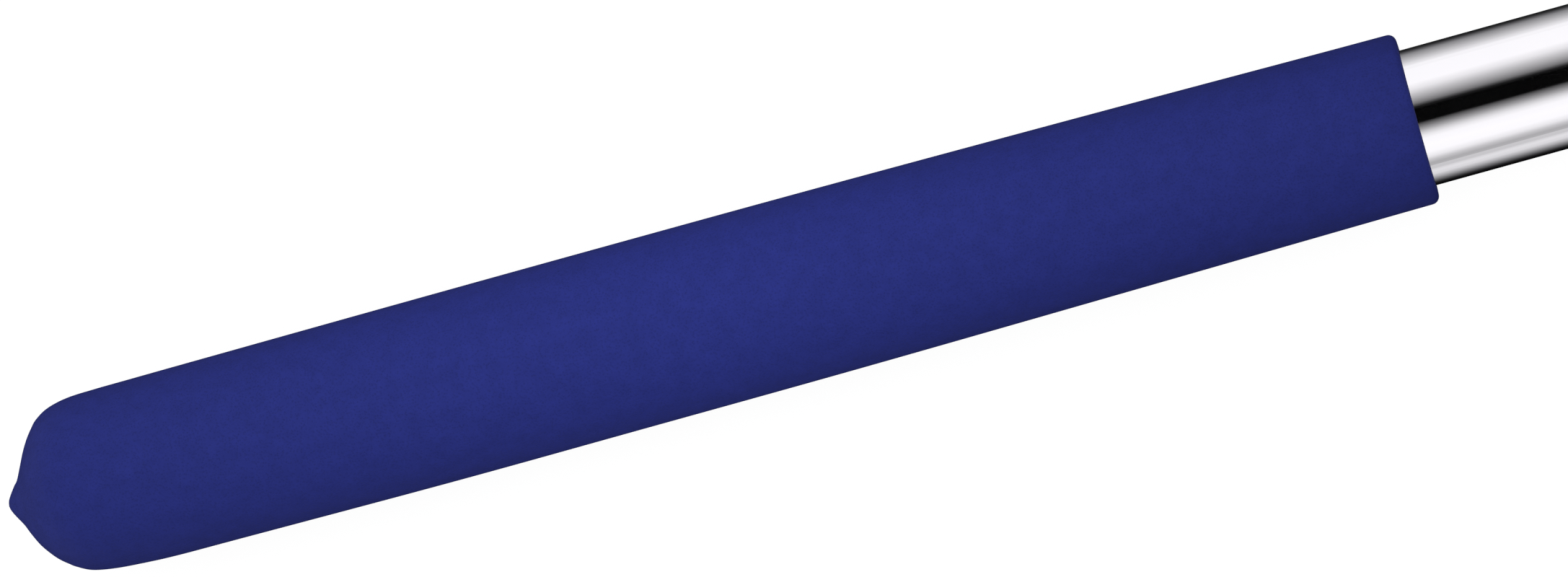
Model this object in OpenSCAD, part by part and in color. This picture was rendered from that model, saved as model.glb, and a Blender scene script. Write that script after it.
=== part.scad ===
// Telescopic golf ball retriever, closed to its shortest, lying on its grip and its cup.
// +X runs along the shaft from the butt of the grip to the front of the cup, and +Z is up.
// The origin is on the floor, under the middle of the closed object.
// Stations are distances along the shaft from the tip of the butt, and heights are
// measured from the shaft's axis.

/* [Grip] */
// Length of the foam grip
grip_len = 231.7; // [225:0.1:240]
// Largest diameter of the grip
grip_d = 29.4; // [28.6:0.1:31]
// Diameter of the grip at its open mouth
grip_mouth_d = 27.7; // [26.5:0.1:28.4]
// Rounding of the mouth's outer edge
grip_edge_r = 1.2; // [0.6:0.1:1.5]
// Length of the domed butt
dome_len = 15; // [13:0.5:18]
// Radius of the small nub on the butt's tip
nub_r = 1.8; // [1.4:0.1:2.2]

/* [Shaft] */
// Outer diameter of the largest tube, the one the grip is on
handle_tube_d = 22; // [21.6:0.1:22.4]
// How much smaller each tube is than the one around it, across the diameter
tube_step = 2; // [1.96:0.01:2.04]
// Wall of every tube
tube_wall = 0.5; // [0.45:0.01:0.55]
// Station of the handle tube's mouth
handle_mouth = 322; // [322:1:324]
// Length of each section that shows in front of the one around it when closed
stub_len = 8; // [7.5:0.1:8]
// Length of the narrowed mouth of a tube
crimp_len = 3; // [2:0.5:4]
// Length of each split friction bush
bush_len = 18; // [12:1:24]

/* [Lock slider] */
// Length of the slider's ring
slider_len = 18; // [14:1:18]
// How far the slider moves to lock the folded cup
slider_travel = 6.5; // [5:0.5:6.5]
// Width of the slider's arm
arm_w = 12; // [8:1:14]

/* [Head] */
// Station of the hinge pin
hinge_at = 398; // [398:0.5:399]
// Height of the hinge pin above the shaft's axis
hinge_up = 9.5; // [9.5:0.1:10]
// Diameter of the hinge pin
hinge_pin_d = 4; // [3.6:0.1:4.2]
// Width of the neck across its two ears
neck_w = 22; // [21.8:0.1:23]
// Inner radius of the cup, which holds a 42.67 mm ball
cup_r = 23.2; // [22.8:0.1:23.4]
// Wall of the cup
cup_wall = 2; // [1.8:0.1:2.2]
// Height of the cup's rim above the shaft's axis
rim_up = 6; // [5.8:0.1:6]
// How far the catch tab stands out in front of the rim
tab_len = 6.1; // [5.5:0.1:6.1]
// Width of the catch tab
tab_w = 16; // [12:1:18]

/* [Hidden] */
$fn = 96;
tube_count = 7;
inner_sections = [for (k = [2:tube_count]) k];

navy = [0.17, 0.20, 0.49];
bright_steel = [0.80, 0.81, 0.83];
black_nylon = [0.10, 0.10, 0.11];
dark_rubber = [0.17, 0.17, 0.17];
orange = [0.95, 0.42, 0.08];

// how far a cutting shape reaches past what it cuts
cut = 1;

// fits, as radial clearances
sliding_fit = 0.05;
bush_fit = 0.03;
loose = 0.3;

// grip
axis_h = grip_d / 2;
barrel_from = 69;
barrel_to = 137;
shoulder_r = axis_h - 0.5;
dome_power = 2.4;
rise_power = 3;
taper_power = 1.5;

// tubes
handle_tube_from = 11;
inner_tube_from = 28;
crimp_cone = 1;
rear_bead_h = 0.2;
rear_bead_len = 1.5;
bush_from = inner_tube_from + rear_bead_len + 0.5;
bush_split = 1.2;
bush_turn = 60;
socket_from = 364;
socket_to = 384;

// plug and bumper at the blind end of the handle tube
plug_len = 14;
plug_recess_r = 6;
plug_recess_len = 9;
bumper_bore_r = 4;
bumper_fit = 0.2;
bumper_gap = 0.5;

// catch tab on the front of the cup
tab_t = 2.4;
tab_low = rim_up - 2.6;
tab_corner = 3;

// parts around the handle tube
ferrule_from = handle_mouth - 11;
ferrule_wall = 1.2;
ferrule_edge = 1.5;
slider_wall = 2.45;
slider_edge = 1;
slider_gap = 0.5;
slider_front = ferrule_from - slider_travel - slider_gap;
slider_back = slider_front - slider_len;
arm_under = 2 * hinge_up - tab_low + loose;
arm_t = 2.4;
arm_tip = 331.8;
arm_nose = 1.4;
arm_root_up = handle_tube_d / 2 + 1.4;
arm_ramp = 4;
thumb_ridge_r = 0.7;
thumb_ridges = 4;
thumb_ridge_pitch = 2.6;
stop_ring_len = 2.7;
stop_ring_wall = 1.6;
stop_ring_edge = 0.5;

// neck
neck_r = 7.5;
neck_flare_from = 380;
neck_flare_to = 389;
neck_flare_r = 14;
neck_to = hinge_at + 4;
ear_t = 3;
ear_r = 4.5;
ear_gap = neck_w - 2 * ear_t;
block_edge_r = 2.5;
pocket_up = hinge_up - 4 - loose;
pocket_from = hinge_at - ear_r;
neck_edge = 0.8;
ear_back = 8;
ear_brow = 2.8;
spring_groove_from = hinge_at - 9.5;
spring_groove_w = 1.1;
neck_pin_d = 2.5;
neck_pin_at = 374;
neck_pin_sunk = 0.2;

// hinge pin, its clip and its spring
pin_head_r = 3.2;
pin_head_t = 1.4;
pin_groove_r = 1.5;
pin_groove_w = 0.8;
pin_tail = 1.6;
clip_r = 3.6;
clip_t = 0.7;
clip_gap = 0.3;
clip_slot_w = 2.4;
coil_r = 3.2;
wire_r = 0.45;
leg_r = 0.42;
coil_turns = 9;
coil_pitch = 0.85;
cup_leg = 7;
neck_leg = 8;

// cup
bead_r = 1.8;
bead_ring_r = cup_r + 1.4;
rim_out_r = bead_ring_r + bead_r;
cup_at = hinge_at + 32.5;
cup_floor_t = 2;
cup_outer_r = cup_r + cup_wall;
rib_angle = 4;
rib_h = 1;
rib_tail = 1;
lug_t = 3;
lug_r = 4;
lug_gap = 0.4;
lug_out = ear_gap / 2 - lug_gap;
web_from = neck_to + loose;
web_low = -6;
web_up = rim_up - bead_r;
web_back = cup_at - 20;
web_back_low = cup_at - 16;
drain_r = 5;
small_drain_r = 1.6;
small_drain_ring_r = 9.4;
slot_w = 4;
slot_h = 9;
slot_mid = -3.5;
slot_from = 10;
drains = 6;

total_len = cup_at + rim_out_r + tab_len;

function tube_r(k) = (handle_tube_d - (k - 1) * tube_step) / 2;
function tube_from(k) = k == 1 ? handle_tube_from : inner_tube_from;
function tube_to(k) = k < tube_count ? handle_mouth + (k - 1) * stub_len : socket_to;

// radius at station u of the nub and of the dome, and of the grip behind and in front of its
// straight middle
function nub_at(u) = u < nub_r ? sqrt(nub_r * nub_r - (nub_r - u) * (nub_r - u)) : nub_r;
function dome_at(u) = shoulder_r * (1 - pow(1 - u / dome_len, dome_power));
function rise_at(u) = axis_h
    - (axis_h - shoulder_r) * pow((barrel_from - u) / (barrel_from - dome_len), rise_power);
function taper_at(u) = axis_h
    - (axis_h - grip_mouth_d / 2) * pow((u - barrel_to) / (grip_len - barrel_to), taper_power);

// puts shaft stations and heights into the object's frame
module on_floor() {
    translate([-total_len / 2, 0, axis_h]) children();
}

// revolves a profile of [radius, station] points about the shaft's axis
module turned(profile) {
    rotate([0, 90, 0]) rotate_extrude() polygon(profile);
}

module ring(r_in, r_out, from, len) {
    turned([[r_in, from], [r_out, from], [r_out, from + len], [r_in, from + len]]);
}

// extrudes a side view of [station, height] points across the shaft, between two values of y
module side_plate(outline, y_from, y_to) {
    translate([0, y_to, 0]) rotate([90, 0, 0]) linear_extrude(y_to - y_from) polygon(outline);
}

module cross_pin(r, at, up, y_from, y_to) {
    translate([at, y_to, up]) rotate([90, 0, 0]) cylinder(r = r, h = y_to - y_from);
}

module both_sides() {
    children();
    mirror([0, 1, 0]) children();
}

// closed sleeve; the dome's stations lie closer together towards the tip
module grip() {
    dome_steps = 16;
    rise_steps = 6;
    rise_len = barrel_from - dome_len;
    taper_steps = 8;
    taper_len = grip_len - grip_edge_r - barrel_to;
    edge = grip_mouth_d / 2 - grip_edge_r;
    bore = handle_tube_d / 2;
    profile = concat(
        [for (i = [0:dome_steps]) let (u = dome_len * pow(i / dome_steps, 2))
            [max(nub_at(u), dome_at(u)), u]],
        [for (i = [1:rise_steps]) let (u = dome_len + rise_len * i / rise_steps) [rise_at(u), u]],
        [for (i = [0:taper_steps]) let (u = barrel_to + taper_len * i / taper_steps) [taper_at(u), u]],
        [for (a = [15:15:90]) [edge + grip_edge_r * cos(a), grip_len - grip_edge_r * (1 - sin(a))]],
        [[bore, grip_len], [bore, handle_tube_from], [0, handle_tube_from]]
    );
    color(navy) on_floor() turned(profile);
}

// one tube: a rolled bead at the back of each inner one, a narrowed mouth on all but the last
module tube(k) {
    r = tube_r(k);
    from = tube_from(k);
    to = tube_to(k);
    drop = tube_step / 2 - tube_wall - sliding_fit;
    narrow = to - crimp_len;
    bead = k == 1 ? [[r, from]] : [
        [r + rear_bead_h, from],
        [r + rear_bead_h, from + rear_bead_len],
        [r, from + rear_bead_len]
    ];
    mouth = k == tube_count ? [[r, to], [r - tube_wall, to]] : [
        [r, narrow - crimp_cone],
        [r - drop, narrow],
        [r - drop, to],
        [r - drop - tube_wall, to],
        [r - drop - tube_wall, narrow],
        [r - tube_wall, narrow - crimp_cone]
    ];
    color(bright_steel) on_floor() difference() {
        turned(concat(bead, mouth, [[r - tube_wall, from]]));
        if (k == tube_count) cross_pin(neck_pin_d / 2, neck_pin_at, 0, -r - cut, r + cut);
    }
}

// split sleeve that rides on the back of an inner tube and drags in the tube around it
module friction_bush(k) {
    r = tube_r(k);
    color(black_nylon) on_floor() difference() {
        ring(r, tube_r(k - 1) - tube_wall - bush_fit, bush_from, bush_len);
        rotate([bush_turn * k, 0, 0]) translate([bush_from - cut, -bush_split / 2, 0])
            cube([bush_len + 2 * cut, bush_split, r + tube_step]);
    }
}

module butt_plug() {
    r = handle_tube_d / 2 - tube_wall;
    to = handle_tube_from + plug_len;
    color(black_nylon) on_floor() turned([
        [0, handle_tube_from],
        [r, handle_tube_from],
        [r, to],
        [plug_recess_r, to],
        [plug_recess_r, to - plug_recess_len],
        [0, to - plug_recess_len]
    ]);
}

module butt_bumper() {
    from = handle_tube_from + plug_len;
    len = inner_tube_from - bumper_gap - from;
    color(dark_rubber) on_floor()
        ring(bumper_bore_r, handle_tube_d / 2 - tube_wall - bumper_fit, from, len);
}

// cap over the narrowed mouth of the handle tube, and the slider's front stop
module mouth_ferrule() {
    r = handle_tube_d / 2;
    drop = tube_step / 2 - tube_wall - sliding_fit;
    narrow = handle_mouth - crimp_len;
    out = r + ferrule_wall;
    color(black_nylon) on_floor() turned([
        [r, ferrule_from],
        [out, ferrule_from],
        [out, handle_mouth - ferrule_edge],
        [out - 1, handle_mouth],
        [r - drop, handle_mouth],
        [r - drop, narrow],
        [r, narrow - crimp_cone]
    ]);
}

module stop_ring() {
    r = handle_tube_d / 2;
    out = r + stop_ring_wall;
    from = slider_back - stop_ring_len - loose;
    to = from + stop_ring_len;
    color(dark_rubber) on_floor() turned([
        [r, from],
        [out - stop_ring_edge, from],
        [out, from + stop_ring_edge],
        [out, to - stop_ring_edge],
        [out - stop_ring_edge, to],
        [r, to]
    ]);
}

// ring that slides on the handle tube, with an arm that reaches over the folded cup's tab
module lock_slider() {
    r = handle_tube_d / 2 + sliding_fit;
    out = r + slider_wall;
    top = arm_under + arm_t;
    half = arm_w / 2;
    ridges_from = slider_back + 7;
    color(black_nylon) on_floor() {
        turned([
            [r, slider_back],
            [out - slider_edge, slider_back],
            [out, slider_back + slider_edge],
            [out, slider_front - slider_edge],
            [out - slider_edge, slider_front],
            [r, slider_front]
        ]);
        side_plate([
            [slider_back + slider_edge, arm_root_up],
            [slider_back + slider_edge, out + 0.5],
            [slider_back + slider_edge + arm_ramp, top],
            [arm_tip - arm_nose, top],
            [arm_tip, top - arm_nose],
            [arm_tip, arm_under],
            [slider_front + arm_ramp, arm_under],
            [slider_front - 0.5, arm_root_up]
        ], -half, half);
        for (i = [0:thumb_ridges - 1])
            cross_pin(thumb_ridge_r, ridges_from + i * thumb_ridge_pitch, top, 1 - half, half - 1);
    }
}

// socket on the last tube, widening to a flat-sided block with two ears for the hinge pin
module neck() {
    half = neck_w / 2;
    color(black_nylon) on_floor() difference() {
        union() {
            intersection() {
                turned([
                    [0, socket_from],
                    [neck_r - neck_edge, socket_from],
                    [neck_r, socket_from + neck_edge],
                    [neck_r, neck_flare_from],
                    [neck_flare_r, neck_flare_to],
                    [neck_flare_r, neck_to],
                    [0, neck_to]
                ]);
                translate([socket_from - cut, 0, 0]) block_bar(neck_to - socket_from + 2 * cut);
            }
            both_sides() {
                side_plate([
                    [hinge_at - ear_back, 0],
                    [neck_to, 0],
                    [hinge_at + ear_r, hinge_up],
                    [hinge_at - ear_brow, hinge_up + ear_r - 1]
                ], half - ear_t, half);
                cross_pin(ear_r, hinge_at, hinge_up, half - ear_t, half);
            }
        }
        ring(0, tube_r(tube_count), socket_from - cut, socket_to - socket_from + cut);
        cross_pin(neck_pin_d / 2, neck_pin_at, 0, -neck_r - cut, neck_r + cut);
        cross_pin(hinge_pin_d / 2, hinge_at, hinge_up, -half - cut, half + cut);
        translate([pocket_from, -ear_gap / 2, pocket_up])
            cube([neck_to - pocket_from + cut, ear_gap, 2 * ear_r + loose]);
        translate([spring_groove_from, -coil_span() / 2 - wire_r, hinge_up - coil_r - wire_r - sliding_fit])
            cube([pocket_from - spring_groove_from + cut, spring_groove_w, ear_r]);
    }
}

// bar along the shaft, as wide as the neck, with its long edges rounded
module block_bar(len) {
    a = neck_w / 2 - block_edge_r;
    b = neck_r - block_edge_r;
    translate([0, -neck_w / 2, -b]) cube([len, neck_w, 2 * b]);
    translate([0, -a, -neck_r]) cube([len, 2 * a, 2 * neck_r]);
    for (y = [-a, a], z = [-b, b])
        translate([0, y, z]) rotate([0, 90, 0]) cylinder(r = block_edge_r, h = len);
}

module neck_pin() {
    half = neck_r - neck_pin_sunk;
    color(bright_steel) on_floor() cross_pin(neck_pin_d / 2, neck_pin_at, 0, -half, half);
}

module hinge_pin() {
    half = neck_w / 2;
    groove_to = -half - clip_gap;
    color(bright_steel) on_floor() difference() {
        union() {
            cross_pin(hinge_pin_d / 2, hinge_at, hinge_up, -half - pin_tail, half);
            cross_pin(pin_head_r, hinge_at, hinge_up, half, half + pin_head_t);
        }
        difference() {
            cross_pin(hinge_pin_d, hinge_at, hinge_up, groove_to - pin_groove_w, groove_to);
            cross_pin(pin_groove_r, hinge_at, hinge_up, groove_to - pin_groove_w - cut, groove_to + cut);
        }
    }
}

// snap ring in the hinge pin's groove, open to the front
module hinge_clip() {
    to = -neck_w / 2 - clip_gap - sliding_fit;
    color(bright_steel) on_floor() difference() {
        cross_pin(clip_r, hinge_at, hinge_up, to - clip_t, to);
        cross_pin(pin_groove_r, hinge_at, hinge_up, to - clip_t - cut, to + cut);
        translate([hinge_at, to - clip_t - cut, hinge_up - clip_slot_w / 2])
            cube([clip_r + cut, clip_t + 2 * cut, clip_slot_w]);
    }
}

function coil_span() = (coil_turns - 1) * coil_pitch;

// close-wound torsion spring about the hinge pin, one leg on the neck and one on the cup
module hinge_spring() {
    low = hinge_up - coil_r;
    end = coil_span() / 2;
    color(bright_steel) on_floor() {
        translate([hinge_at, 0, hinge_up]) rotate([90, 0, 0]) rotate_extrude()
            for (i = [0:coil_turns - 1])
                translate([coil_r, i * coil_pitch - end]) circle(r = wire_r, $fn = 32);
        translate([hinge_at, end, low]) rotate([0, 90, 0]) cylinder(r = leg_r, h = cup_leg);
        translate([hinge_at, -end, low]) rotate([0, -90, 0]) cylinder(r = leg_r, h = neck_leg);
    }
}

// round bowl with a beaded rim, two hinge lugs behind and a catch tab in front
module cup() {
    color(orange) on_floor() difference() {
        union() {
            translate([cup_at, 0, 0]) {
                bowl_ball(cup_outer_r, -axis_h);
                translate([0, 0, rim_up - bead_r]) rotate_extrude()
                    translate([bead_ring_r, 0]) circle(r = bead_r);
                for (a = [60, 120, 240, 300]) rotate([0, 0, a - rib_angle / 2]) intersection() {
                    rotate_extrude(angle = rib_angle) translate([cup_r, -axis_h])
                        square([cup_wall + 2 * rib_h, axis_h + rim_up - bead_r]);
                    bowl_ball(cup_outer_r + rib_h, -axis_h + rib_tail);
                }
            }
            hinge_lugs();
            catch_tab();
        }
        translate([cup_at, 0, 0]) {
            cup_hollow();
            cup_drains();
        }
        cross_pin(hinge_pin_d / 2 + sliding_fit, hinge_at, hinge_up, -neck_w, neck_w);
    }
}

// ball centred at the rim's height, kept between a floor and the middle of the rim's bead
module bowl_ball(r, low) {
    intersection() {
        translate([0, 0, rim_up]) sphere(r = r, $fn = 128);
        translate([0, 0, low]) cylinder(r = r + cut, h = rim_up - bead_r - low);
    }
}

module cup_hollow() {
    low = -axis_h + cup_floor_t;
    intersection() {
        translate([0, 0, rim_up]) sphere(r = cup_r, $fn = 128);
        translate([0, 0, low]) cylinder(r = cup_r + cut, h = 2 * cup_r);
    }
}

module cup_drains() {
    deep = cup_floor_t + 2 * cut;
    translate([0, 0, -axis_h - cut]) {
        cylinder(r = drain_r, h = deep);
        drain_ring() translate([small_drain_ring_r, 0, 0]) cylinder(r = small_drain_r, h = deep, $fn = 32);
    }
    drain_ring() translate([slot_from, 0, slot_mid]) rotate([90, 0, 90]) linear_extrude(cup_r) {
        square([slot_w, slot_h], center = true);
        for (z = [-slot_h / 2, slot_h / 2]) translate([0, z]) circle(r = slot_w / 2);
    }
}

// repeats something at every drain's direction
module drain_ring() {
    for (i = [0:drains - 1]) rotate([0, 0, (i + 0.5) * 360 / drains]) children();
}

// two arms that carry the hinge pin, and the web that joins them to the bowl
module hinge_lugs() {
    both_sides() {
        side_plate([
            [hinge_at + 1.5, hinge_up - lug_r + 0.4],
            [web_from, hinge_up - lug_r],
            [web_from, web_low],
            [web_back_low, web_low],
            [web_back, web_up],
            [hinge_at + 9, rim_up],
            [hinge_at + 2.5, hinge_up + 3]
        ], lug_out - lug_t, lug_out);
        cross_pin(lug_r, hinge_at, hinge_up, lug_out - lug_t, lug_out);
    }
    side_plate([
        [web_from, web_low],
        [web_from, web_up],
        [web_back, web_up],
        [web_back_low, web_low]
    ], -lug_out, lug_out);
}

// starts inside the bowl's wall, which the hollow cuts back
module catch_tab() {
    half = tab_w / 2;
    from = cup_at + cup_r - 4;
    to = cup_at + rim_out_r + tab_len;
    translate([0, 0, tab_low]) linear_extrude(tab_t) polygon([
        [from, -half],
        [to - tab_corner, -half],
        [to, -half + tab_corner],
        [to, half - tab_corner],
        [to - tab_corner, half],
        [from, half]
    ]);
}

grip();
tube(1);  // handle_tube
butt_plug();
butt_bumper();
mouth_ferrule();
stop_ring();
lock_slider();
for (k = inner_sections) tube(k);
for (k = inner_sections) friction_bush(k);
neck();
neck_pin();
hinge_pin();
hinge_clip();
hinge_spring();
cup();
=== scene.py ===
import math

import bmesh
import bpy
import numpy as np
from mathutils import Matrix, Vector


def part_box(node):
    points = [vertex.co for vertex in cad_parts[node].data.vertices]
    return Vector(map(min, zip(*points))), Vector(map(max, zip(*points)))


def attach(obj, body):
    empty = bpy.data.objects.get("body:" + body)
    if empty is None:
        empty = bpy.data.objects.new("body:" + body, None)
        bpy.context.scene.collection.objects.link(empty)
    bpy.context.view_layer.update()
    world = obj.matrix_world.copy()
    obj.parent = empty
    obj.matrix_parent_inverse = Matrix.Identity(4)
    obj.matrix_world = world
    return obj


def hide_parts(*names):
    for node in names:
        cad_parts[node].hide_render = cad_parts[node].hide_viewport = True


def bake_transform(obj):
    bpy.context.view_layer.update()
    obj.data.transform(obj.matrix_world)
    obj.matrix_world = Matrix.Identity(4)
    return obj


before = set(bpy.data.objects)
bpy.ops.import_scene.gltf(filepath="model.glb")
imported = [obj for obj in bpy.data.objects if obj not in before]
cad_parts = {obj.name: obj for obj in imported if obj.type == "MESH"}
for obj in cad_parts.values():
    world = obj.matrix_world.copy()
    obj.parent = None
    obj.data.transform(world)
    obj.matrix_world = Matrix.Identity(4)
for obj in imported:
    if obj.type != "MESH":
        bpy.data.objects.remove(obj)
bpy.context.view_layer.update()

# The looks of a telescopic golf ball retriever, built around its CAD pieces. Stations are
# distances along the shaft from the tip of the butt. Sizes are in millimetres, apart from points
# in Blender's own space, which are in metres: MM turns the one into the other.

MM = 0.001

# ---------------------------------------------------------------- places, from the CAD frame

tube_low, tube_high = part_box("handle_tube")
pin_low, pin_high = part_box("hinge_pin")
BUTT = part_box("grip")[0].x
AXIS_H = (tube_low.z + tube_high.z) / 2
HINGE = Vector(((pin_low.x + pin_high.x) / 2, 0, (pin_low.z + pin_high.z) / 2))
INNER = range(2, 8)


def station(u):
    """x in metres of a station."""
    return BUTT + u * MM


def span(node):
    """A node's first and last stations, and half its height."""
    low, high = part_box(node)
    return (low.x - BUTT) / MM, (high.x - BUTT) / MM, (high.z - low.z) / 2 / MM


def clamp(value):
    return min(1.0, max(0.0, value))


GRIP_LEN = span("grip")[1]
HANDLE_R = span("handle_tube")[2]

# ---------------------------------------------------------------- camera

FRAME_WIDTH = 247.75          # what the picture's width covers at the shaft
CAMERA_LENS = 300
SENSOR = 36
PICTURE_TILT = math.radians(15.47)
CAMERA_LEAN = math.radians(3.7)
AIM_STATION = 128.15
AIM_SIDE = 0.735
CAMERA_REACH = 100            # in metres


def make_camera():
    """Above the grip and a little to its mouth's side, turned so that the shaft climbs to the right."""
    data = bpy.data.cameras.new("camera")
    data.lens = CAMERA_LENS
    data.sensor_width = SENSOR
    data.clip_end = CAMERA_REACH
    camera = bpy.data.objects.new("camera", data)
    bpy.context.scene.collection.objects.link(camera)
    turn = Matrix.Rotation(CAMERA_LEAN, 3, "Y") @ Matrix.Rotation(-PICTURE_TILT, 3, "Z")
    away = turn @ Vector((0, 0, FRAME_WIDTH * MM * CAMERA_LENS / SENSOR))
    camera.location = Vector((station(AIM_STATION), AIM_SIDE * MM, AXIS_H)) + away
    camera.rotation_euler = turn.to_euler()
    bpy.context.scene.camera = camera


# ---------------------------------------------------------------- node trees

class Nodes:
    """A short way to write node trees."""

    def __init__(self, tree):
        self.tree = tree
        tree.nodes.clear()

    def add(self, kind, inputs=None, **settings):
        node = self.tree.nodes.new(kind)
        for key, value in settings.items():
            setattr(node, key, value)
        for key, value in (inputs or {}).items():
            self.feed(node.inputs[key], value)
        return node

    def feed(self, socket, value):
        """Link a socket, or set its value; a colour may leave out its alpha."""
        if isinstance(value, bpy.types.NodeSocket):
            self.tree.links.new(value, socket)
        elif socket.type == "RGBA" and len(value) == 3:
            socket.default_value = (*value, 1)
        else:
            socket.default_value = value

    def math(self, operation, a, b=0.0, clamp=False):
        return self.add("ShaderNodeMath", {0: a, 1: b}, operation=operation, use_clamp=clamp).outputs[0]

    def vector(self, operation, a, b):
        return self.add("ShaderNodeVectorMath", {0: a, 1: b}, operation=operation).outputs[0]

    def ramp(self, value, stops):
        """stops are (place, grey)."""
        node = self.add("ShaderNodeValToRGB", {0: value})
        elements = node.color_ramp.elements
        while len(elements) < len(stops):
            elements.new(0.5)
        for element, (place, grey) in zip(elements, stops):
            element.position = place
            element.color = (grey, grey, grey, 1)
        return node.outputs[0]

    def mix(self, factor, a, b, blend="MIX"):
        node = self.add("ShaderNodeMix", {0: factor, 6: a, 7: b}, data_type="RGBA", blend_type=blend)
        return node.outputs[2]

    def mix_shader(self, factor, a, b):
        return self.add("ShaderNodeMixShader", {0: factor, 1: a, 2: b}).outputs[0]

    def noise(self, at, scale, detail=3.0, roughness=0.5):
        inputs = {"Vector": at, "Scale": scale, "Detail": detail, "Roughness": roughness}
        return self.add("ShaderNodeTexNoise", inputs).outputs[0]

    def bump(self, height, strength, distance, normal=None):
        inputs = {"Height": height, "Strength": strength, "Distance": distance * MM}
        if normal is not None:
            inputs["Normal"] = normal
        return self.add("ShaderNodeBump", inputs).outputs[0]

    def point(self):
        """The point in the object's own space, in millimetres."""
        where = self.add("ShaderNodeTexCoord").outputs["Object"]
        return self.add("ShaderNodeVectorMath", {0: where, 3: 1 / MM}, operation="SCALE").outputs[0]

    def finish(self, **sockets):
        """Principled shader with the given sockets, joined to the output."""
        named = {name.replace("_", " "): value for name, value in sockets.items()}
        shader = self.add("ShaderNodeBsdfPrincipled", named)
        self.add("ShaderNodeOutputMaterial", {0: shader.outputs[0]})


def new_material(name):
    material = bpy.data.materials.new(name)
    material.use_nodes = True
    return material, Nodes(material.node_tree)


# ---------------------------------------------------------------- studio

# brightness of the studio in reflections: degrees from straight up, towards +Y, and grey
DOME = [
    (-90, 0.44), (-84, 0.41), (-77, 0.56), (-70, 0.82), (-61, 0.98), (-48, 1.0), (-36, 0.96),
    (-30, 0.82), (-25, 0.62), (-19, 0.34), (-14, 0.17), (-7.5, 0.004), (-5, 0.001), (6, 0.001),
    (14.5, 0.001), (18.5, 0.012), (21.5, 0.07), (24, 0.16), (29, 0.28), (39, 0.52), (49, 0.80),
    (60, 0.98), (90, 0.97),
]
DOME_GAIN = 1.03
# brightness of the same studio as soft light: straight up, and at the two horizons
SOFT_TOP = 1.64
SOFT_MINUS_Y = 0.26
SOFT_PLUS_Y = 1.02
WHITE = (1, 1, 1)


def make_world():
    """A white studio, lit softly from above, with a dark slot overhead that only metal shows."""
    world = bpy.data.worlds.new("studio")
    bpy.context.scene.world = world
    world.use_nodes = True
    n = Nodes(world.node_tree)
    where = n.add("ShaderNodeTexCoord").outputs["Generated"]
    xyz = n.add("ShaderNodeSeparateXYZ", {0: where}).outputs
    angle = n.math("ARCTAN2", xyz[1], xyz[2])
    part = n.math("ADD", n.math("DIVIDE", angle, math.pi), 0.5, clamp=True)
    dome = n.ramp(part, [((degrees + 90) / 180, grey) for degrees, grey in DOME])
    soft = n.ramp(part, [(0.0, SOFT_MINUS_Y / SOFT_TOP), (0.5, 1.0), (1.0, SOFT_PLUS_Y / SOFT_TOP)])
    ray = n.add("ShaderNodeLightPath").outputs
    mirrored = n.add("ShaderNodeBackground", {0: dome, 1: DOME_GAIN}).outputs[0]
    light = n.add("ShaderNodeBackground", {0: soft, 1: SOFT_TOP}).outputs[0]
    seen = n.add("ShaderNodeBackground", {0: WHITE, 1: 1.0}).outputs[0]
    unseen = n.mix_shader(ray["Is Glossy Ray"], light, mirrored)
    n.add("ShaderNodeOutputWorld", {0: n.mix_shader(ray["Is Camera Ray"], unseen, seen)})


# how bright the floor looks in metal on either side, by distance from the shaft's line: painted shade,
# dark beside the shaft
FLOOR_PLUS_Y = [(0, 0.0), (20, 0.05), (24, 0.14), (31, 0.32), (42, 0.44), (58, 0.58), (90, 0.76),
                (182, 0.96)]
FLOOR_MINUS_Y = [(0, 0.0), (20, 0.01), (24, 0.05), (31, 0.22), (42, 0.50), (58, 0.74), (90, 0.80),
                 (182, 0.60)]
# and how much light it sends back to the rest, with painted shade beside the shaft
FLOOR_SOFT = [(0, 0.0), (20, 0.02), (60, 0.20), (200, 0.70)]
FLOOR_REACH = 200.0
# behind the butt, where the shaft gives no shade: how much light, and over what distance it rises
FLOOR_END_GLOW = 1.2
FLOOR_END_REACH = 25.0
FLOOR_HALF = 160              # in metres
FLOOR_PAINT = (0.9, 0.9, 0.9)
FLOOR_GLOW = 1.05
FLOOR_GLOW_SHARE = 0.86       # the rest is paint, which takes the contact shadow


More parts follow.
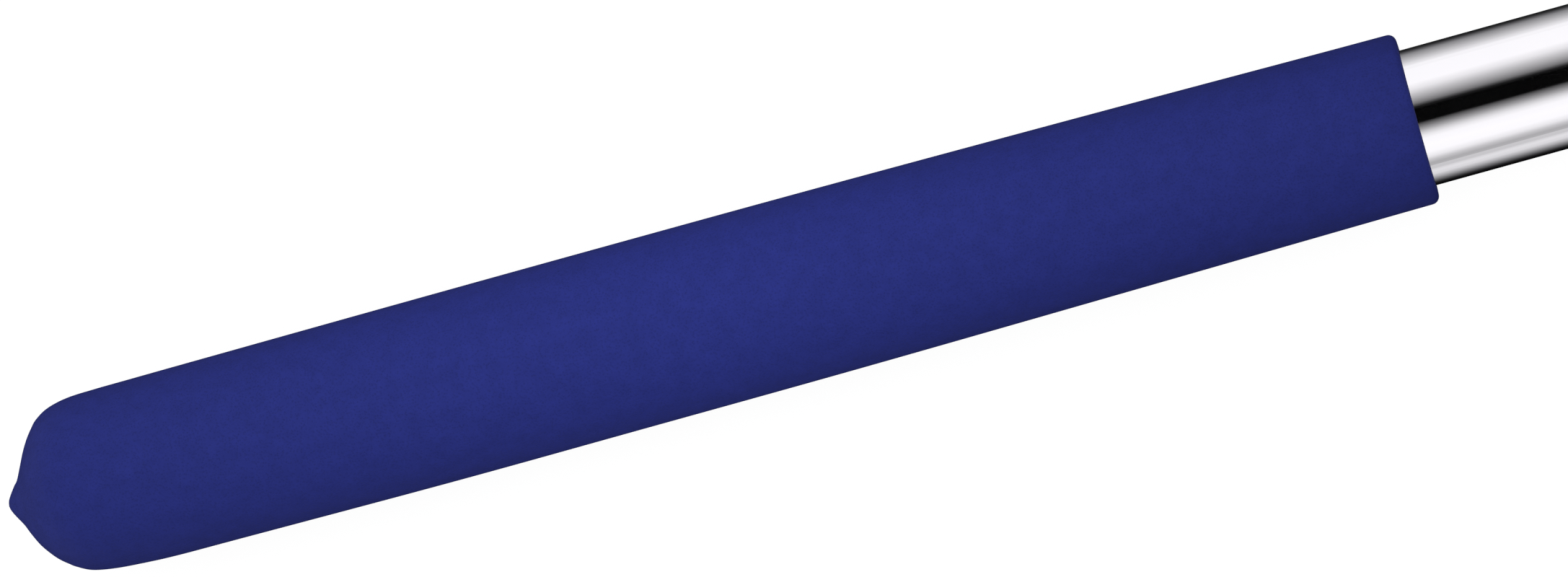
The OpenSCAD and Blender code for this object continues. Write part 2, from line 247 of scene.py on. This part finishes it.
def make_floor():
    """A pale floor, white to the camera with a faint contact shadow; its glow in reflections and bounce
    light is dimmer beside the shaft, as painted shade.
    """
    mesh = bpy.data.meshes.new("floor")
    h = FLOOR_HALF
    mesh.from_pydata([(-h, -h, 0), (h, -h, 0), (h, h, 0), (-h, h, 0)], [], [(0, 1, 2, 3)])
    floor = bpy.data.objects.new("floor", mesh)
    bpy.context.scene.collection.objects.link(floor)
    material, n = new_material("floor")
    where = n.add("ShaderNodeNewGeometry").outputs["Position"]
    x, y = n.add("ShaderNodeSeparateXYZ", {0: where}).outputs[:2]
    # painted shade: the floor's glow dimmer near the shaft's line
    away = n.math("DIVIDE", n.math("ABSOLUTE", y), FLOOR_REACH * MM, clamp=True)
    plus, minus, soft = (n.ramp(away, [(distance / FLOOR_REACH, grey) for distance, grey in stops])
                         for stops in (FLOOR_PLUS_Y, FLOOR_MINUS_Y, FLOOR_SOFT))
    behind = n.math("DIVIDE", n.math("SUBTRACT", BUTT, x), FLOOR_END_REACH * MM, clamp=True)
    soft = n.mix(behind, soft, (FLOOR_END_GLOW,) * 3)
    mirrored = n.mix(n.math("GREATER_THAN", y, 0.0), minus, plus)
    ray = n.add("ShaderNodeLightPath").outputs
    sent = n.mix(ray["Is Glossy Ray"], soft, mirrored)
    unseen = n.add("ShaderNodeEmission", {0: sent, 1: 1.0}).outputs[0]
    paint = n.add("ShaderNodeBsdfDiffuse", {0: FLOOR_PAINT}).outputs[0]
    glow = n.add("ShaderNodeEmission", {0: WHITE, 1: FLOOR_GLOW}).outputs[0]
    seen = n.mix_shader(FLOOR_GLOW_SHARE, paint, glow)
    n.add("ShaderNodeOutputMaterial", {0: n.mix_shader(ray["Is Camera Ray"], unseen, seen)})
    mesh.materials.append(material)


# ---------------------------------------------------------------- materials

# Noise scales are in features to the millimetre, and bump distances in millimetres.
FOAM_PLAIN = (0.0144, 0.0216, 0.166)
FOAM_PALE = (0.0162, 0.0240, 0.184)
FOAM_DARK = (0.0105, 0.0155, 0.120)
FOAM_PORES = 2.6
# how much painted shade darkens the hollows of the pores
FOAM_PORE_PAINTED_SHADE = 0.3
PORE_DEPTH = 0.8
GRAIN_DEPTH = 0.6
# painted shade that darkens the foam towards both ends of the grip: share of its length, and tone
GRIP_PAINTED_SHADE = [(0.0, 0.82), (0.3, 0.95), (0.5, 1.0), (0.75, 0.89), (0.97, 0.80), (1.0, 0.72)]


def foam_material():
    """Navy foam: a matt skin with fine open pores darkened by painted shade, soft mottling, and painted
    shade darkening it towards both ends.
    """
    material, n = new_material("grip_foam_navy")
    at = n.point()
    patches = n.noise(at, 0.35)
    grain = n.noise(at, 1.6, roughness=0.6)
    cells = n.add("ShaderNodeTexVoronoi", {"Vector": at, "Scale": FOAM_PORES}).outputs[0]
    pores = n.ramp(cells, [(0.0, 0.0), (0.32, 0.75), (0.6, 1.0)])
    x = n.add("ShaderNodeSeparateXYZ", {0: at}).outputs[0]
    along = n.math("DIVIDE", n.math("SUBTRACT", x, BUTT / MM), GRIP_LEN, clamp=True)
    tone = n.mix(n.ramp(patches, [(0.35, 0.0), (0.65, 1.0)]), FOAM_PLAIN, FOAM_PALE)
    tone = n.mix(n.ramp(grain, [(0.35, 0.16), (0.6, 0.0)]), tone, FOAM_DARK)
    # painted shade: the colour darker in the hollows of the pores
    tone = n.mix(FOAM_PORE_PAINTED_SHADE, tone, pores, "MULTIPLY")
    # painted shade: the foam darker towards both ends of the grip
    tone = n.mix(1.0, tone, n.ramp(along, GRIP_PAINTED_SHADE), "MULTIPLY")
    skin = n.math("ADD", n.math("MULTIPLY", pores, PORE_DEPTH), n.math("MULTIPLY", grain, GRAIN_DEPTH))
    n.finish(
        Base_Color=tone,
        Roughness=n.math("ADD", n.math("MULTIPLY", grain, 0.16), 0.64),
        Specular_IOR_Level=0.1,
        Normal=n.bump(skin, strength=1.0, distance=0.05,
                      normal=n.bump(patches, strength=0.5, distance=0.2)),
    )
    return material


CHROME_CLOUDY = (0.955, 0.94, 0.985)
CHROME_CLEAR = (0.985, 0.965, 1.0)
# dark tint of the reflection at grazing angles: painted shade along the tube's edges
CHROME_EDGE_PAINTED_SHADE = (0.35, 0.36, 0.38)
POLISH_STRETCH = (6.0, 0.4, 0.4)


def chrome_material():
    """Bright chrome with faint polishing lines round the tube, a few cloudy patches, and painted shade
    darkening its reflection towards its edges.
    """
    material, n = new_material("tube_chrome_bright")
    at = n.point()
    lines = n.noise(n.vector("MULTIPLY", at, POLISH_STRETCH), 1.2, detail=5.0, roughness=0.6)
    clouds = n.noise(at, 0.09)
    n.finish(
        Base_Color=n.mix(clouds, CHROME_CLOUDY, CHROME_CLEAR),
        Metallic=1.0,
        Roughness=n.math("ADD", n.math("MULTIPLY", clouds, 0.035), n.math("MULTIPLY", lines, 0.03)),
        # painted shade: the reflection darkened where the tube turns away
        Specular_Tint=CHROME_EDGE_PAINTED_SHADE,
        Normal=n.bump(lines, strength=0.06, distance=0.01),
    )
    return material


STEEL_STAINED = (0.50, 0.50, 0.51)
STEEL_CLEAN = (0.66, 0.66, 0.67)
DRAWN_STRETCH = (3.0, 0.5, 3.0)


def steel_material():
    """Bright drawn steel of the pins, the clip and the spring."""
    material, n = new_material("pin_steel_drawn")
    at = n.point()
    lines = n.noise(n.vector("MULTIPLY", at, DRAWN_STRETCH), 2.0, detail=5.0, roughness=0.6)
    n.finish(
        Base_Color=n.mix(n.noise(at, 0.6), STEEL_STAINED, STEEL_CLEAN),
        Metallic=1.0,
        Roughness=n.math("ADD", n.math("MULTIPLY", lines, 0.2), 0.2),
        Normal=n.bump(lines, strength=0.25, distance=0.02),
    )
    return material


RUBBER_CLEAN = (0.012, 0.012, 0.013)
RUBBER_DUSTY = (0.03, 0.03, 0.03)


def rubber_material():
    """Soft black rubber with a dull grain and a little dust."""
    material, n = new_material("rubber_black_soft")
    at = n.point()
    grain = n.noise(at, 3.0, detail=5.0, roughness=0.7)
    dust = n.ramp(n.noise(at, 0.5), [(0.4, 0.0), (0.75, 1.0)])
    n.finish(
        Base_Color=n.mix(dust, RUBBER_CLEAN, RUBBER_DUSTY),
        Roughness=n.math("ADD", n.math("MULTIPLY", grain, 0.15), 0.72),
        Specular_IOR_Level=0.3,
        Normal=n.bump(grain, strength=0.4, distance=0.05),
    )
    return material


GRAIN_GLOSS = 0.22            # how much the grain spreads a plastic's roughness
RUBBED_GLOSS = 0.1            # and how much less rough its rubbed edges are
GRAIN_SHADE = 0.6


def plastic_material(name, colour, darker, worn, roughness, grain_scale=2.5, strength=0.8):
    """Moulded plastic: fine eroded grain, uneven colour, and paler, smoother rubbed edges."""
    material, n = new_material(name)
    at = n.point()
    flow = n.noise(at, 0.12)
    grain = n.noise(at, grain_scale, detail=4.0, roughness=0.65)
    specks = n.noise(at, 0.7, detail=5.0, roughness=0.7)
    ridge = n.ramp(n.add("ShaderNodeNewGeometry").outputs["Pointiness"], [(0.56, 0.0), (0.66, 1.0)])
    rubbed = n.math("MULTIPLY", ridge, n.ramp(specks, [(0.3, 0.35), (0.7, 1.0)]), clamp=True)
    tone = n.mix(n.ramp(flow, [(0.3, 0.0), (0.7, 1.0)]), colour, darker)
    tone = n.mix(n.ramp(grain, [(0.35, 0.22), (0.6, 0.0)]), tone, [GRAIN_SHADE * c for c in darker])
    matt = n.math("ADD", n.math("MULTIPLY", grain, GRAIN_GLOSS), roughness - GRAIN_GLOSS / 2)
    n.finish(
        Base_Color=n.mix(rubbed, tone, worn),
        Roughness=n.math("SUBTRACT", matt, n.math("MULTIPLY", rubbed, RUBBED_GLOSS)),
        Specular_IOR_Level=0.5,
        Normal=n.bump(grain, strength=strength, distance=0.05,
                      normal=n.bump(flow, strength=0.1, distance=0.5)),
    )
    return material


# ---------------------------------------------------------------- mesh helpers

def new_piece(name, points, faces, material, body, node, sharp_from=None):
    """sharp_from is the angle in degrees from which an edge stays sharp.
    """
    mesh = bpy.data.meshes.new(name)
    mesh.from_pydata(points, [], faces)
    mesh.validate()
    mesh.materials.append(material)
    piece = bpy.data.objects.new(name, mesh)
    bpy.context.scene.collection.objects.link(piece)
    mesh.polygons.foreach_set("use_smooth", [True] * len(mesh.polygons))
    if sharp_from is not None:
        mesh.set_sharp_from_angle(angle=math.radians(sharp_from))
    if body:
        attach(piece, body)
    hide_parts(node)
    return piece


def on_shaft(u, r, lean, a):
    """The point at station u and angle a, r away from the shaft's axis moved by lean to +Y."""
    return (station(u), (lean + r * math.sin(a)) * MM, AXIS_H + r * MM * math.cos(a))


def across(centre):
    """The same for things turned about a line along Y through centre, where u is y."""
    def place(u, r, lean, a):
        return (centre.x + r * MM * math.sin(a), u * MM, centre.z + r * MM * math.cos(a))
    return place


def turned_mesh(rings, segments, closed, place=on_shaft):
    """Points and faces of rings (along, radius, lean) round an axis; a radius of 0 is a pole."""
    points, starts, faces = [], [], []
    for u, r, lean in rings:
        starts.append(len(points))
        for i in range(segments if r else 1):
            points.append(place(u, r, lean, 2 * math.pi * i / segments))
    pairs = list(zip(range(len(rings)), range(1, len(rings))))
    if closed:
        pairs.append((len(rings) - 1, 0))
    for p, q in pairs:
        a, b = starts[p], starts[q]
        for i in range(segments):
            j = (i + 1) % segments
            if rings[p][1] == 0:
                faces.append((a, b + i, b + j))
            elif rings[q][1] == 0:
                faces.append((a + i, b, a + j))
            else:
                faces.append((a + i, b + i, b + j, a + j))
    return points, faces


def swept_mesh(loops):
    """Points and faces of a tube through loops of equal size, with both ends closed."""
    size = len(loops[0])
    points = [p for loop in loops for p in loop]
    faces = []
    for k in range(len(loops) - 1):
        for i in range(size):
            j = (i + 1) % size
            faces.append((k * size + i, k * size + j, (k + 1) * size + j, (k + 1) * size + i))
    last = (len(loops) - 1) * size
    faces += [tuple(range(size - 1, -1, -1)), tuple(range(last, last + size))]
    return points, faces


def spline(points, samples):
    """Catmull-Rom curve through points, with the given number of samples a span."""
    p = np.array(points, float)
    p = np.vstack([2 * p[0] - p[1], p, 2 * p[-1] - p[-2]])
    out = []
    for a, b, c, d in zip(p, p[1:], p[2:], p[3:]):
        for t in np.arange(samples) / samples:
            out.append(0.5 * (2 * b + (c - a) * t + (2 * a - 5 * b + 4 * c - d) * t ** 2
                              + (3 * b - a - 3 * c + d) * t ** 3))
    out.append(p[-2])
    return [tuple(map(float, q)) for q in out]


def rounded(corners, samples=5):
    """Closed outline of (along, r, rounding) corners, each rounded off by a curve of that reach."""
    out = []
    for i, (u, r, size) in enumerate(corners):
        here = Vector((u, r))
        if size == 0:
            out.append((u, r))
            continue
        back = (Vector(corners[i - 1][:2]) - here).normalized() * size
        on = (Vector(corners[(i + 1) % len(corners)][:2]) - here).normalized() * size
        for k in range(samples + 1):
            t = k / samples
            out.append(tuple(here + back * (1 - t) ** 2 + on * t ** 2))
    return out


def turned_piece(name, outline, segments, closed, material, body, node, place=on_shaft):
    """A piece turned from an outline of (along, r, rounding) corners."""
    rings = [(u, r, 0.0) for u, r in rounded(outline)]
    points, faces = turned_mesh(rings, segments, closed, place)
    new_piece(name, points, faces, material, body, node)


# ---------------------------------------------------------------- the grip

# outline of the foam: station, radius, and how far the middle leans to +Y
GRIP_OUTLINE = [
    (0.2, 0.0, 0.2), (0.4, 0.8, 0.2), (0.9, 1.75, 0.1), (1.9, 3.3, -0.15), (2.6, 4.55, -0.6),
    (3.6, 6.5, -0.7), (4.8, 8.5, -0.4), (5.9, 10.0, -0.15), (7.1, 11.25, 0.1), (8.2, 12.2, 0.25),
    (10.4, 13.35, 0.3), (13.8, 14.05, 0.32), (18.3, 14.33, 0.2), (24.0, 14.48, 0.08),
    (34.0, 14.55, 0.05), (69.0, 14.75, -0.05), (100.0, 14.74, -0.02), (137.0, 14.65, 0.0),
    (183.0, 14.28, 0.05), (217.0, 13.93, 0.05),
]
GRIP_SAMPLES = 14
GRIP_SEGMENTS = 192
MOUTH_R = 13.82
MOUTH_LEAN = 0.05
MOUTH_EDGE = 1.3
BORE_FLARE = 0.15
BORE_FLARE_LEN = 0.2
BORE_GAP = 0.02
BORE_END_GAP = 0.05


def make_grip(material):
    """Foam sleeve: nub, dome and barrel outside, rounded mouth, and the bore down to the tube's end."""
    bore = HANDLE_R + BORE_GAP
    bore_end = span("handle_tube")[0] + BORE_END_GAP
    edge_from = GRIP_LEN - MOUTH_EDGE
    body = spline(GRIP_OUTLINE + [(edge_from, MOUTH_R, MOUTH_LEAN)], GRIP_SAMPLES)
    edge = [(edge_from + MOUTH_EDGE * math.sin(a), MOUTH_R - MOUTH_EDGE * (1 - math.cos(a)), MOUTH_LEAN)
            for a in np.radians(np.arange(10, 91, 10))]
    inside = [(GRIP_LEN, HANDLE_R + BORE_FLARE, 0.0), (GRIP_LEN - BORE_FLARE_LEN, bore, 0.0),
              (bore_end, bore, 0.0), (bore_end, 0.0, 0.0)]
    points, faces = turned_mesh(body + edge + inside, GRIP_SEGMENTS, False)
    piece = new_piece("grip_foam", points, faces, material, "handle", "grip")


# ---------------------------------------------------------------- the tubes, and rings on them

TUBE_WALL = 0.5
STEP_R = 1.0
SLIDING_FIT = 0.05
CRIMP_LEN = 3.0
CRIMP_CONE = 1.2
CRIMP_DROP = STEP_R - TUBE_WALL - SLIDING_FIT
BEAD_H = 0.2
BEAD_LEN = 1.5
BEAD_SLOPE = 0.2
TUBE_SEGMENTS = 160


def make_tube(node, body, material, crimped, beaded):
    """A steel tube with a narrowed mouth, rounded cut edges and a rolled bead at the back."""
    start, end, widest = span(node)
    r = widest - BEAD_H if beaded else widest
    drop = CRIMP_DROP if crimped else 0.0
    narrow = end - CRIMP_LEN
    inner = r - TUBE_WALL
    outline = [(start, inner, 0.1), (start, widest, 0.18)]
    if beaded:
        outline += [(start + BEAD_LEN, widest, 0.25), (start + BEAD_LEN + BEAD_SLOPE, r, 0.1)]
    if crimped:
        outline += [(narrow - CRIMP_CONE, r, 0.5), (narrow, r - drop, 0.5)]
    outline += [(end, r - drop, 0.18), (end, inner - drop, 0.12)]
    if crimped:
        outline += [(narrow, inner - drop, 0.4), (narrow - CRIMP_CONE, inner, 0.4)]
    turned_piece(node + "_chrome", outline, TUBE_SEGMENTS, True, material, body, node)


FERRULE_GROOVES = (2.2, 4.4)
GROOVE_DEPTH = 0.3
GROOVE_FLOOR = 0.5
FERRULE_NOSE = (1.5, 1.0)     # along the ferrule, and down
FERRULE_CONE = 1.0


def make_ferrule(material):
    """Nylon cap with two shallow grooves, over the narrowed mouth of the handle tube."""
    start, end, out = span("mouth_ferrule")
    throat = HANDLE_R - CRIMP_DROP
    nose, nose_drop = FERRULE_NOSE
    outline = [(start, HANDLE_R, 0.15), (start, out, 0.45)]
    for groove in FERRULE_GROOVES:
        floor_from = start + groove + GROOVE_DEPTH
        floor_to = floor_from + GROOVE_FLOOR
        outline += [(start + groove, out, 0.2), (floor_from, out - GROOVE_DEPTH, 0.2),
                    (floor_to, out - GROOVE_DEPTH, 0.2), (floor_to + GROOVE_DEPTH, out, 0.2)]
    outline += [(end - nose, out, 0.8), (end, out - nose_drop, 0.5), (end, throat, 0.2),
                (end - CRIMP_LEN, throat, 0.2), (end - CRIMP_LEN - FERRULE_CONE, HANDLE_R, 0.2)]
    turned_piece("mouth_ferrule_turned", outline, TUBE_SEGMENTS, True, material, "handle",
                 "mouth_ferrule")


def make_stop_ring(material):
    """Rubber ring with round shoulders, behind the lock slider."""
    start, end, out = span("stop_ring")
    outline = [(start, HANDLE_R, 0.2), (start, out, 1.2), (end, out, 1.2), (end, HANDLE_R, 0.2)]
    turned_piece("stop_ring_turned", outline, TUBE_SEGMENTS, True, material, "handle",
                 "stop_ring")


# ---------------------------------------------------------------- moulded pieces

WELD = 0.001


def applied(piece):
    """Turn the piece's modifiers into its own mesh."""
    ready = bpy.data.meshes.new_from_object(piece.evaluated_get(bpy.context.evaluated_depsgraph_get()))
    piece.modifiers.clear()
    piece.data = ready


def moulded(node, body, material, voxel, rounds, keep, carve=None):
    """A CAD node's shape as one moulded skin, with its edges and inside corners rounded off.

    voxel is the fineness of the skin, rounds how often it is smoothed, and keep the share of its
    faces that stay. carve changes the skin before that.
    """
    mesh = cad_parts[node].data.copy()
    work = bmesh.new()
    work.from_mesh(mesh)
    bmesh.ops.remove_doubles(work, verts=work.verts, dist=WELD * MM)
    work.to_mesh(mesh)
    work.free()
    piece = bpy.data.objects.new(node + "_moulded", mesh)
    bpy.context.scene.collection.objects.link(piece)
    skin = piece.modifiers.new("skin", "REMESH")
    skin.mode = "VOXEL"
    skin.voxel_size = voxel * MM
    skin.use_smooth_shade = True
    rounding = piece.modifiers.new("rounding", "SMOOTH")
    rounding.factor = 0.5
    rounding.iterations = rounds
    applied(piece)
    if carve:
        carve(piece)
    piece.modifiers.new("fewer", "DECIMATE").ratio = keep
    applied(piece)
    piece.data.materials.clear()
    piece.data.materials.append(material)
    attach(piece, body)
    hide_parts(node)


FLUTES = 40
FLUTE_DEPTH = 0.35
FLUTE_TOP = 0.62              # height of the highest flute, as a share of the ring's radius
FLUTE_INSET = 1.7             # plain rim at both ends of the ring
RING_BEHIND_FERRULE = 7       # from the ring's front to the ferrule's back
SKIN_OUTSIDE = 0.1            # what counts as the ring's outer surface: how far out of its
SKIN_INSIDE = 0.7             # radius, and how far in


def flute(piece):
    """Grooves along the lower three quarters of the slider's ring, for the fingers."""
    low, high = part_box("lock_slider")
    out = (high.y - low.y) / 2
    ring_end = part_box("mouth_ferrule")[0].x - RING_BEHIND_FERRULE * MM
    top = FLUTE_TOP * out
    for v in piece.data.vertices:
        y, z = v.co.y, v.co.z - AXIS_H
        r = math.hypot(y, z)
        if r < out - SKIN_INSIDE * MM or r > out + SKIN_OUTSIDE * MM or z > top:
            continue
        from_end = min(v.co.x - low.x, ring_end - v.co.x) / MM
        fade = clamp(from_end - FLUTE_INSET) * clamp((top - z) / MM)
        wave = 0.5 + 0.5 * math.cos(FLUTES * math.atan2(y, z))
        kept = 1 - FLUTE_DEPTH * MM * fade * wave ** 2 / r
        v.co.y = y * kept
        v.co.z = AXIS_H + z * kept
    piece.data.update()


# ---------------------------------------------------------------- pins, clip and spring

CUT_EDGE = 50                 # degrees: the sharp edges where wire and clip were cut off
PIN_R = 2.0
PIN_GROOVE_R = 1.5
PIN_GROOVE_W = 0.8
PIN_GROOVE_GAP = 0.3          # from the neck's side to the groove
PIN_CHAMFER = (0.4, 0.5)      # along the pin, and down
HEAD_RIM = 0.5
HEAD_DOME = (0.15, 1.3)       # where the head's dome turns flatter: from its top, and from its rim
HEAD_FLAT_R = 0.9
PIN_SEGMENTS = 64


def make_hinge_pin(material):
    """Domed head at +Y, a shank, the clip's groove and a chamfered tail."""
    head_r = span("hinge_pin")[2]
    tail, end = pin_low.y / MM, pin_high.y / MM
    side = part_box("neck")[1].y / MM
    groove_to = -side - PIN_GROOVE_GAP
    groove_from = groove_to - PIN_GROOVE_W
    along, down = PIN_CHAMFER
    below, inward = HEAD_DOME
    outline = [
        (tail, 0, 0), (tail, PIN_R - down, 0.2), (tail + along, PIN_R, 0.2), (groove_from, PIN_R, 0.1),
        (groove_from, PIN_GROOVE_R, 0.1), (groove_to, PIN_GROOVE_R, 0.1), (groove_to, PIN_R, 0.1),
        (side, PIN_R, 0.1), (side, head_r, 0.15), (side + HEAD_RIM, head_r, 0.35),
        (end - below, head_r - inward, 0.5), (end, HEAD_FLAT_R, 0.3), (end, 0, 0),
    ]
    turned_piece("hinge_pin_turned", outline, PIN_SEGMENTS, False, material, "section_7", "hinge_pin",
                 across(HINGE))


NECK_PIN_CHAMFER = (0.35, 0.2)
DIMPLE_R = (0.5, 0.7)
DIMPLE_DEPTH = 0.25
NECK_PIN_SEGMENTS = 48


def make_neck_pin(material):
    """A cross pin with chamfered ends and a dimple in each."""
    low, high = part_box("neck_pin")
    r, end = span("neck_pin")[2], high.y / MM
    along, down = NECK_PIN_CHAMFER
    floor_r, rim_r = DIMPLE_R
    half = [(end - along, r, 0.15), (end, r - down, 0.1), (end, rim_r, 0.1),
            (end - DIMPLE_DEPTH, floor_r, 0.1), (end, 0, 0)]
    outline = [(-y, q, size) for y, q, size in reversed(half)] + half
    turned_piece("neck_pin_turned", outline, NECK_PIN_SEGMENTS, False, material, "section_7", "neck_pin",
                 across((low + high) / 2))


CLIP_GRIP_R = 1.52
CLIP_RELIEF_R = 2.15
CLIP_TEETH = 3
CLIP_EDGE = 0.15
CLIP_EDGE_STEPS = 3
CLIP_MOUTH = math.radians(40)
CLIP_STEPS = 72
CLIP_END_STEPS = 3            # over which both ends round off
CLIP_END_NARROWS = 0.75


def make_clip(material):
    """Snap ring with rounded edges and three teeth inside, open to the front."""
    low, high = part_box("hinge_clip")
    y0, y1 = low.y / MM, high.y / MM
    out = span("hinge_clip")[2]
    mid, half = (out + CLIP_GRIP_R) / 2, (out - CLIP_GRIP_R) / 2
    place = across(HINGE)
    loops = []
    for k in range(CLIP_STEPS + 1):
        a = math.pi / 2 + CLIP_MOUTH + 2 * (math.pi - CLIP_MOUTH) * k / CLIP_STEPS
        tooth = 0.5 + 0.5 * math.cos(CLIP_TEETH * (a - 1.5 * math.pi))
        from_end = min(1.0, min(k, CLIP_STEPS - k) / CLIP_END_STEPS)
        width = math.sqrt(1 - CLIP_END_NARROWS * (1 - from_end) ** 2)
        inner = mid - (half - (CLIP_RELIEF_R - CLIP_GRIP_R) * math.sqrt(max(0.0, 1 - tooth))) * width
        outer = mid + half * width
        corners = [(r, y, CLIP_EDGE) for r, y in ((inner, y0), (outer, y0), (outer, y1), (inner, y1))]
        loops.append([place(y, r, 0.0, a) for r, y in rounded(corners, CLIP_EDGE_STEPS)])
    points, faces = swept_mesh(loops)
    new_piece("hinge_clip_snap", points, faces, material, "section_7", "hinge_clip",
              sharp_from=CUT_EDGE)


COIL_R = 3.2
WIRE_R = 0.4
WIRE_SIDES = 12
COIL_END = 3.4
COIL_TURNS = 8
TURN_STEPS = 32
NECK_LEG = 8.0
# the leg on the cup's side: how far in front of the hinge, and how high above it
CUP_LEG = [(0, -COIL_R), (2.0, -COIL_R), (4.2, -COIL_R - 0.1), (5.6, -4.75), (7.0, -4.9), (8.4, -4.9)]
LEG_SAMPLES = 5


def make_spring(material):
    """Torsion spring on the hinge pin: a leg in the neck, the coil, and a leg down onto the cup."""
    path = [Vector((-NECK_LEG, -COIL_END, -COIL_R)), Vector((-NECK_LEG / 2, -COIL_END, -COIL_R))]
    steps = COIL_TURNS * TURN_STEPS
    for k in range(steps + 1):
        a = 2 * math.pi * COIL_TURNS * k / steps
        path.append(Vector((COIL_R * math.sin(a), COIL_END * (2 * k / steps - 1), -COIL_R * math.cos(a))))
    path += [Vector((x, COIL_END, z)) for x, z in spline(CUP_LEG, LEG_SAMPLES)[1:]]
    loops = []
    normal = Vector((0, 0, 1))
    for k, at in enumerate(path):
        along = (path[min(k + 1, len(path) - 1)] - path[max(k - 1, 0)]).normalized()
        normal = (normal - along * normal.dot(along)).normalized()
        other = along.cross(normal)
        turns = [2 * math.pi * i / WIRE_SIDES for i in range(WIRE_SIDES)]
        wire = [at + (normal * math.cos(a) + other * math.sin(a)) * WIRE_R for a in turns]
        loops.append([HINGE + p * MM for p in wire])
    points, faces = swept_mesh(loops)
    spring = new_piece("hinge_spring_wire", points, faces, material, None, "hinge_spring",
                       sharp_from=CUT_EDGE)
    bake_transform(spring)


# ---------------------------------------------------------------- everything

def repaint(node, material):
    """Give a CAD piece that stays as it is its material."""
    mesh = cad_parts[node].data
    mesh.materials.clear()
    mesh.materials.append(material)


make_camera()
make_world()
make_floor()
bpy.context.scene.view_settings.view_transform = "Standard"

foam = foam_material()
chrome = chrome_material()
nylon = plastic_material(
    "nylon_black_moulded", colour=(0.018, 0.018, 0.019), darker=(0.026, 0.026, 0.028),
    worn=(0.055, 0.055, 0.056), roughness=0.46)
acetal = plastic_material(
    "bush_acetal", colour=(0.62, 0.61, 0.57), darker=(0.70, 0.69, 0.65), worn=(0.74, 0.73, 0.70),
    roughness=0.4)
orange = plastic_material(
    "cup_plastic_orange", colour=(0.86, 0.19, 0.012), darker=(0.80, 0.16, 0.01), worn=(0.90, 0.34, 0.08),
    roughness=0.36, grain_scale=2.2, strength=0.4)
rubber = rubber_material()
steel = steel_material()

make_grip(foam)
make_tube("handle_tube", "handle", chrome, crimped=True, beaded=False)
for k in INNER:
    make_tube(f"tube_{k}", f"section_{k}", chrome, crimped=k < INNER[-1], beaded=True)
    repaint(f"friction_bush_{k}", acetal)
repaint("butt_plug", nylon)
repaint("butt_bumper", rubber)
make_ferrule(nylon)
make_stop_ring(rubber)
moulded("lock_slider", "slider", nylon, voxel=0.22, rounds=12, keep=0.3, carve=flute)
moulded("neck", "section_7", nylon, voxel=0.22, rounds=12, keep=0.4)
moulded("cup", "cup", orange, voxel=0.2, rounds=22, keep=0.2)
make_hinge_pin(steel)
make_neck_pin(steel)
make_clip(steel)
make_spring(steel)
